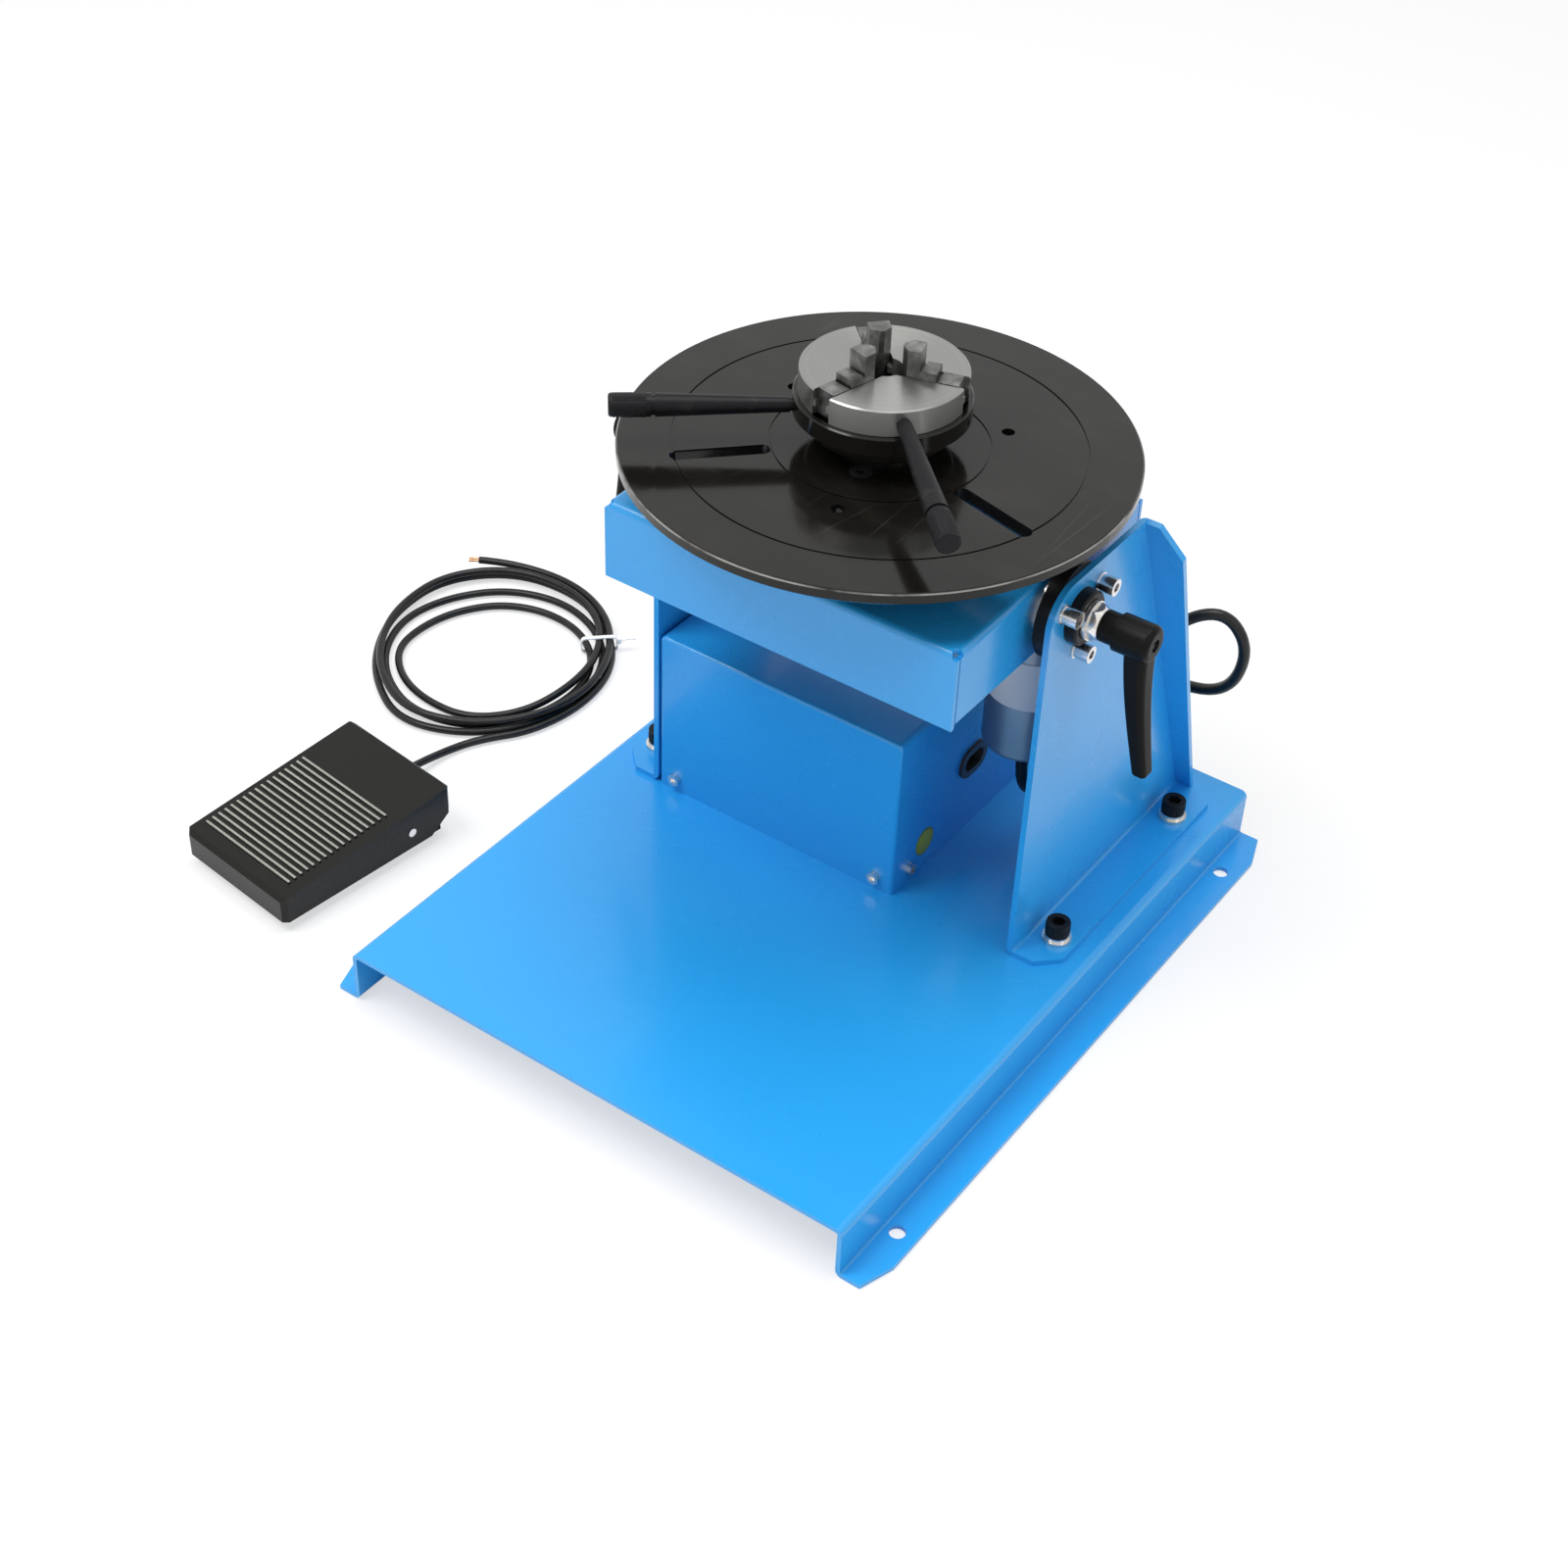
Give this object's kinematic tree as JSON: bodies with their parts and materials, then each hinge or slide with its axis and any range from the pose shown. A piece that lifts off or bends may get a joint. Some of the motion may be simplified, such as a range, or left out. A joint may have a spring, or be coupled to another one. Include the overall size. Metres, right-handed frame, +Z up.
{
  "type": "welding positioner",
  "caption": "Bench-top welding positioner: tilting yoke with geared motor, slotted faceplate, scroll chuck with lever bars, control box and foot pedal.",
  "frame": {"origin": "centre of the four base holes, on the floor under the feet", "axes": "+X right along the tilt pivot, +Y to the rear with the controls, +Z up along the resting spindle"},
  "size_m": [0.4239, 0.3265, 0.2666],
  "materials": {
    "blue": "gloss",
    "black_steel": "satin",
    "black_plate": "gloss",
    "zinc": "satin",
    "bright_steel": "machined",
    "hard_steel": "ground",
    "black_lever": "satin",
    "motor_case": "plated",
    "black_plastic": "matte",
    "panel_plastic": "gloss",
    "red_plastic": "gloss",
    "green_board": "matte",
    "supply_case": "satin",
    "cable_rubber": "matte",
    "foot_rubber": "matte",
    "white_nylon": "matte",
    "brass": "satin",
    "copper": "satin"
  },
  "bodies": {
    "stand": {"base_plate": "blue", "bracket_left": "blue", "bracket_right": "blue", "bracket_bolts": "black_steel", "bracket_nuts_washers": "zinc", "pivot_flange_left": "black_steel", "pivot_flange_right": "black_steel", "pivot_flange_screws": "zinc", "box_cover": "blue", "rear_panel": "blue", "box_fasteners": "zinc", "control_board": "green_board", "power_supply": "supply_case", "panel_fittings": "panel_plastic", "cable_gland": "black_plastic", "lead_grommet": "foot_rubber", "motor_cable": "cable_rubber", "pedal_base": "black_steel", "pedal_pin": "zinc", "pedal_spring": "hard_steel", "pedal_switch": "panel_plastic", "pedal_feet": "foot_rubber", "pedal_cord": "cable_rubber", "cord_cores": "copper", "cord_tie": "white_nylon"},
    "speed_knob": {"speed_knob": "black_plastic"},
    "direction_toggle": {"direction_toggle": "bright_steel"},
    "power_rocker": {"power_rocker": "red_plastic"},
    "treadle": {"pedal_treadle": "black_plastic"},
    "plunger": {"pedal_plunger": "white_nylon"},
    "head": {"tilt_yoke": "blue", "pivot_studs": "zinc", "thrust_washers": "zinc", "stud_nuts": "zinc", "bearing_housing": "blue", "head_fasteners": "zinc", "bearing_outer_rings": "bright_steel", "motor_plate": "zinc", "gearbox": "motor_case", "motor_can": "motor_case", "motor_end_cap": "black_plastic"},
    "lever_left": {"clamp_lever_left": "black_lever", "lever_insert_left": "zinc"},
    "lever_right": {"clamp_lever_right": "black_lever", "lever_insert_right": "zinc"},
    "pinion": {"motor_pinion": "brass"},
    "table": {"spindle": "bright_steel", "spindle_gear": "hard_steel", "spindle_locknut": "black_steel", "bearing_inner_rings": "bright_steel", "faceplate": "black_plate", "faceplate_screws": "black_steel", "chuck_back_plate": "black_plate", "chuck_body": "bright_steel", "chuck_bar_body": "black_steel"},
    "scroll": {"scroll_ring": "black_plate", "chuck_bar_scroll": "black_steel"},
    "jaw_1": {"jaw_1": "hard_steel"},
    "jaw_2": {"jaw_2": "hard_steel"},
    "jaw_3": {"jaw_3": "hard_steel"}
  },
  "joints": [
    {"name": "tilt", "type": "hinge", "parent": "stand", "child": "head", "pos_m": [0, 0.025, 0.184], "axis": [1, 0, 0], "range_deg": [0, 90], "deforming": ["motor_cable"]},
    {"name": "spindle_turn", "type": "hinge", "parent": "head", "child": "table", "pos_m": [0, 0.025, 0.2], "axis": [0, 0, 1], "continuous": true},
    {"name": "pinion_turn", "type": "hinge", "parent": "head", "child": "pinion", "pos_m": [0.05642, 0.06206, 0.17], "axis": [0, 0, 1], "continuous": true},
    {"name": "lever_left_turn", "type": "hinge", "parent": "head", "child": "lever_left", "pos_m": [-0.11, 0.025, 0.184], "axis": [1, 0, 0], "range_deg": [-90, 90]},
    {"name": "lever_right_turn", "type": "hinge", "parent": "head", "child": "lever_right", "pos_m": [0.11, 0.025, 0.184], "axis": [1, 0, 0], "range_deg": [-90, 90]},
    {"name": "scroll_turn", "type": "hinge", "parent": "table", "child": "scroll", "pos_m": [0, 0.025, 0.24], "axis": [0, 0, 1], "range_deg": [-240, 80]},
    {"name": "jaw_1_slide", "type": "slide", "parent": "table", "child": "jaw_1", "axis": [0.9563, 0.2924, 0], "range_m": [-0.0012, 0.0034]},
    {"name": "jaw_2_slide", "type": "slide", "parent": "table", "child": "jaw_2", "axis": [-0.7314, 0.682, 0], "range_m": [-0.0012, 0.0034]},
    {"name": "jaw_3_slide", "type": "slide", "parent": "table", "child": "jaw_3", "axis": [-0.225, -0.9744, 0], "range_m": [-0.0012, 0.0034]},
    {"name": "treadle_press", "type": "hinge", "parent": "stand", "child": "treadle", "pos_m": [-0.19335, -0.07374, 0.0135], "axis": [0.9923, -0.1236, 0], "range_deg": [0, 3.2], "stiffness_Nm_per_rad": 3, "springref_deg": -6.88, "deforming": ["pedal_spring"]},
    {"name": "plunger_slide", "type": "slide", "parent": "stand", "child": "plunger", "axis": [0, 0, 1], "range_m": [-0.002, 0]},
    {"name": "knob_turn", "type": "hinge", "parent": "stand", "child": "speed_knob", "pos_m": [-0.06374, 0.125, 0.078], "axis": [0, 1, 0], "range_deg": [-150, 150]},
    {"name": "direction_flip", "type": "hinge", "parent": "stand", "child": "direction_toggle", "pos_m": [-0.03574, 0.126, 0.078], "axis": [1, 0, 0], "range_deg": [-12, 12]},
    {"name": "power_flip", "type": "hinge", "parent": "stand", "child": "power_rocker", "pos_m": [-0.00974, 0.122, 0.078], "axis": [1, 0, 0], "range_deg": [-8, 8]}
  ],
  "couplings": [
    {"joint": "pinion_turn", "follows": "spindle_turn", "ratio": -4},
    {"joint": "jaw_1_slide", "follows": "scroll_turn", "m_per_rad": -0.00079577},
    {"joint": "jaw_2_slide", "follows": "scroll_turn", "m_per_rad": -0.00079577},
    {"joint": "jaw_3_slide", "follows": "scroll_turn", "m_per_rad": -0.00079577},
    {"joint": "plunger_slide", "follows": "treadle_press", "m_per_rad": -0.034}
  ]
}
